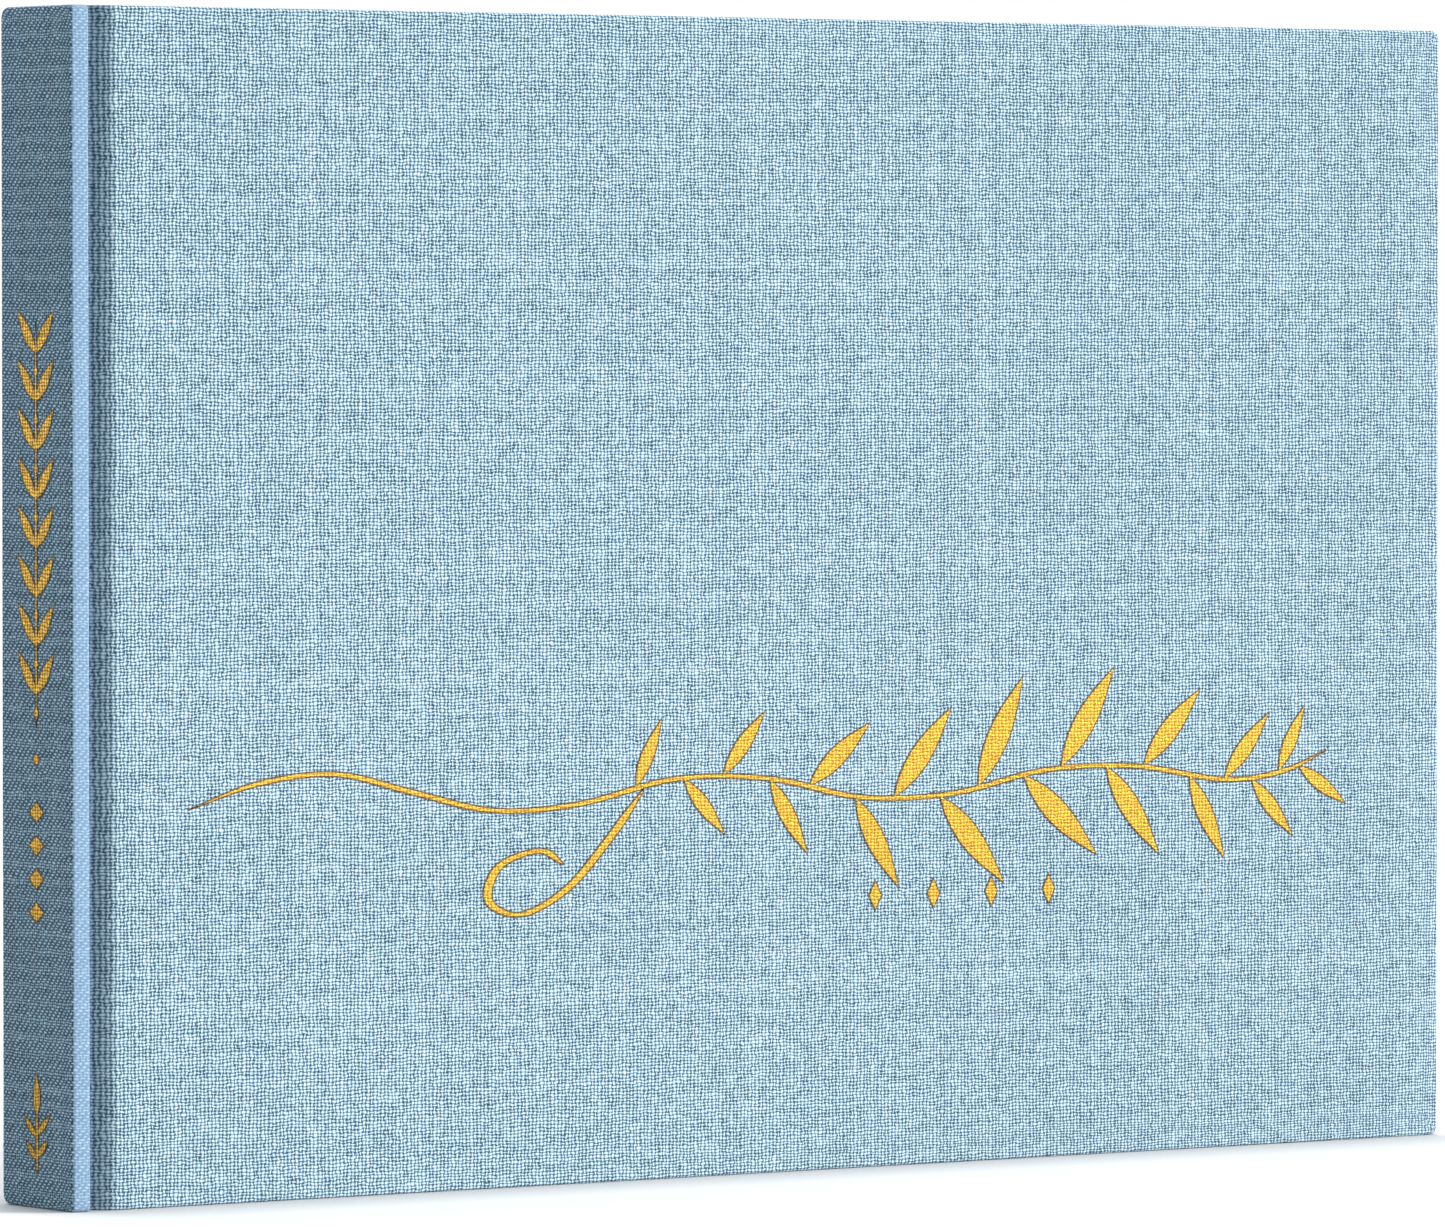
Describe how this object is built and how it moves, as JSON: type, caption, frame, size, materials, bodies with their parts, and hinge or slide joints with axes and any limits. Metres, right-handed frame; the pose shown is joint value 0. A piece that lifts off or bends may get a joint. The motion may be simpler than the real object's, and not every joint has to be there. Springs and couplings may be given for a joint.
{
  "type": "guest book",
  "caption": "Landscape hardback guest book in light-blue linen bookcloth, with French grooves, a flat spine, folded paper sections and gold foil ornament.",
  "frame": {"origin": "under the middle of the closed book, on the surface that its tail edge stands on", "axes": "+X from the spine to the fore-edge, -Y out of the front cover, +Z from tail to head"},
  "size_m": [0.2627, 0.0201, 0.18],
  "materials": {
    "linen": "linen bookcloth, light blue, matt weave",
    "board": "grey card, matt",
    "paper": "ivory writing paper, matt",
    "gauze": "open cotton gauze",
    "kraft": "brown lining paper, matt",
    "thread": "waxed linen thread",
    "band": "woven silk band",
    "foil": "stamped gold foil, satin"
  },
  "bodies": {
    "spine": {"spine_board": "board", "spine_cloth": "linen", "spine_lining": "kraft", "mull": "gauze", "sewing_thread": "thread", "headband": "band", "tailband": "band", "spine_vine": "foil", "spine_bud": "foil", "spine_dot": "foil", "spine_lozenge_1": "foil", "spine_lozenge_2": "foil", "spine_lozenge_3": "foil", "spine_lozenge_4": "foil"},
    "front_cover": {"front_board": "board", "front_cloth": "linen", "front_joint_cloth": "linen", "front_mull_flange": "gauze", "front_pastedown": "paper", "front_flourish": "foil", "front_lozenge_1": "foil", "front_lozenge_2": "foil", "front_lozenge_3": "foil", "front_lozenge_4": "foil"},
    "back_cover": {"back_board": "board", "back_cloth": "linen", "back_joint_cloth": "linen", "back_mull_flange": "gauze", "back_pastedown": "paper"},
    "front_flyleaf": {"front_flyleaf": "paper"},
    "back_flyleaf": {"back_flyleaf": "paper"},
    "section_01": {"section_01": "paper"},
    "section_02": {"section_02": "paper"},
    "section_03": {"section_03": "paper"},
    "section_04": {"section_04": "paper"},
    "section_05": {"section_05": "paper"},
    "section_06": {"section_06": "paper"},
    "section_07": {"section_07": "paper"},
    "section_08": {"section_08": "paper"},
    "section_09": {"section_09": "paper"},
    "section_10": {"section_10": "paper"},
    "section_11": {"section_11": "paper"},
    "section_12": {"section_12": "paper"}
  },
  "joints": [
    {"name": "front_cover_hinge", "type": "hinge", "parent": "spine", "child": "front_cover", "pos_m": [-0.1281, -0.00735, 0.09], "axis": [0, 0, -1], "range_deg": [0, 90]},
    {"name": "back_cover_hinge", "type": "hinge", "parent": "spine", "child": "back_cover", "pos_m": [-0.1281, 0.00735, 0.09], "axis": [0, 0, 1], "range_deg": [0, 90]},
    {"name": "front_flyleaf_turn", "type": "hinge", "parent": "spine", "child": "front_flyleaf", "pos_m": [-0.12721, -0.00653, 0.09], "axis": [0, 0, -1], "range_deg": [0, 80]},
    {"name": "back_flyleaf_turn", "type": "hinge", "parent": "spine", "child": "back_flyleaf", "pos_m": [-0.12721, 0.00653, 0.09], "axis": [0, 0, 1], "range_deg": [0, 80]},
    {"name": "section_01_turn", "type": "hinge", "parent": "spine", "child": "section_01", "pos_m": [-0.12668, -0.00586, 0.09], "axis": [0, 0, -1], "range_deg": [0, 68.75]},
    {"name": "section_02_turn", "type": "hinge", "parent": "spine", "child": "section_02", "pos_m": [-0.12668, -0.00479, 0.09], "axis": [0, 0, -1], "range_deg": [0, 56.25]},
    {"name": "section_03_turn", "type": "hinge", "parent": "spine", "child": "section_03", "pos_m": [-0.12668, -0.00373, 0.09], "axis": [0, 0, -1], "range_deg": [0, 43.75]},
    {"name": "section_04_turn", "type": "hinge", "parent": "spine", "child": "section_04", "pos_m": [-0.12668, -0.00266, 0.09], "axis": [0, 0, -1], "range_deg": [0, 31.25]},
    {"name": "section_05_turn", "type": "hinge", "parent": "spine", "child": "section_05", "pos_m": [-0.12668, -0.0016, 0.09], "axis": [0, 0, -1], "range_deg": [0, 18.75]},
    {"name": "section_06_turn", "type": "hinge", "parent": "spine", "child": "section_06", "pos_m": [-0.12668, -0.00053, 0.09], "axis": [0, 0, -1], "range_deg": [0, 6.25]},
    {"name": "section_07_turn", "type": "hinge", "parent": "spine", "child": "section_07", "pos_m": [-0.12668, 0.00053, 0.09], "axis": [0, 0, 1], "range_deg": [0, 6.25]},
    {"name": "section_08_turn", "type": "hinge", "parent": "spine", "child": "section_08", "pos_m": [-0.12668, 0.0016, 0.09], "axis": [0, 0, 1], "range_deg": [0, 18.75]},
    {"name": "section_09_turn", "type": "hinge", "parent": "spine", "child": "section_09", "pos_m": [-0.12668, 0.00266, 0.09], "axis": [0, 0, 1], "range_deg": [0, 31.25]},
    {"name": "section_10_turn", "type": "hinge", "parent": "spine", "child": "section_10", "pos_m": [-0.12668, 0.00373, 0.09], "axis": [0, 0, 1], "range_deg": [0, 43.75]},
    {"name": "section_11_turn", "type": "hinge", "parent": "spine", "child": "section_11", "pos_m": [-0.12668, 0.00479, 0.09], "axis": [0, 0, 1], "range_deg": [0, 56.25]},
    {"name": "section_12_turn", "type": "hinge", "parent": "spine", "child": "section_12", "pos_m": [-0.12668, 0.00586, 0.09], "axis": [0, 0, 1], "range_deg": [0, 68.75]}
  ],
  "couplings": [
    {"joint": "front_flyleaf_turn", "follows": "front_cover_hinge", "ratio": 0.8888},
    {"joint": "back_flyleaf_turn", "follows": "back_cover_hinge", "ratio": 0.8888},
    {"joint": "section_01_turn", "follows": "front_cover_hinge", "ratio": 0.7638},
    {"joint": "section_02_turn", "follows": "front_cover_hinge", "ratio": 0.625},
    {"joint": "section_03_turn", "follows": "front_cover_hinge", "ratio": 0.4861},
    {"joint": "section_04_turn", "follows": "front_cover_hinge", "ratio": 0.3472},
    {"joint": "section_05_turn", "follows": "front_cover_hinge", "ratio": 0.2083},
    {"joint": "section_06_turn", "follows": "front_cover_hinge", "ratio": 0.0694},
    {"joint": "section_07_turn", "follows": "back_cover_hinge", "ratio": 0.0694},
    {"joint": "section_08_turn", "follows": "back_cover_hinge", "ratio": 0.2083},
    {"joint": "section_09_turn", "follows": "back_cover_hinge", "ratio": 0.3472},
    {"joint": "section_10_turn", "follows": "back_cover_hinge", "ratio": 0.4861},
    {"joint": "section_11_turn", "follows": "back_cover_hinge", "ratio": 0.625},
    {"joint": "section_12_turn", "follows": "back_cover_hinge", "ratio": 0.7638}
  ]
}
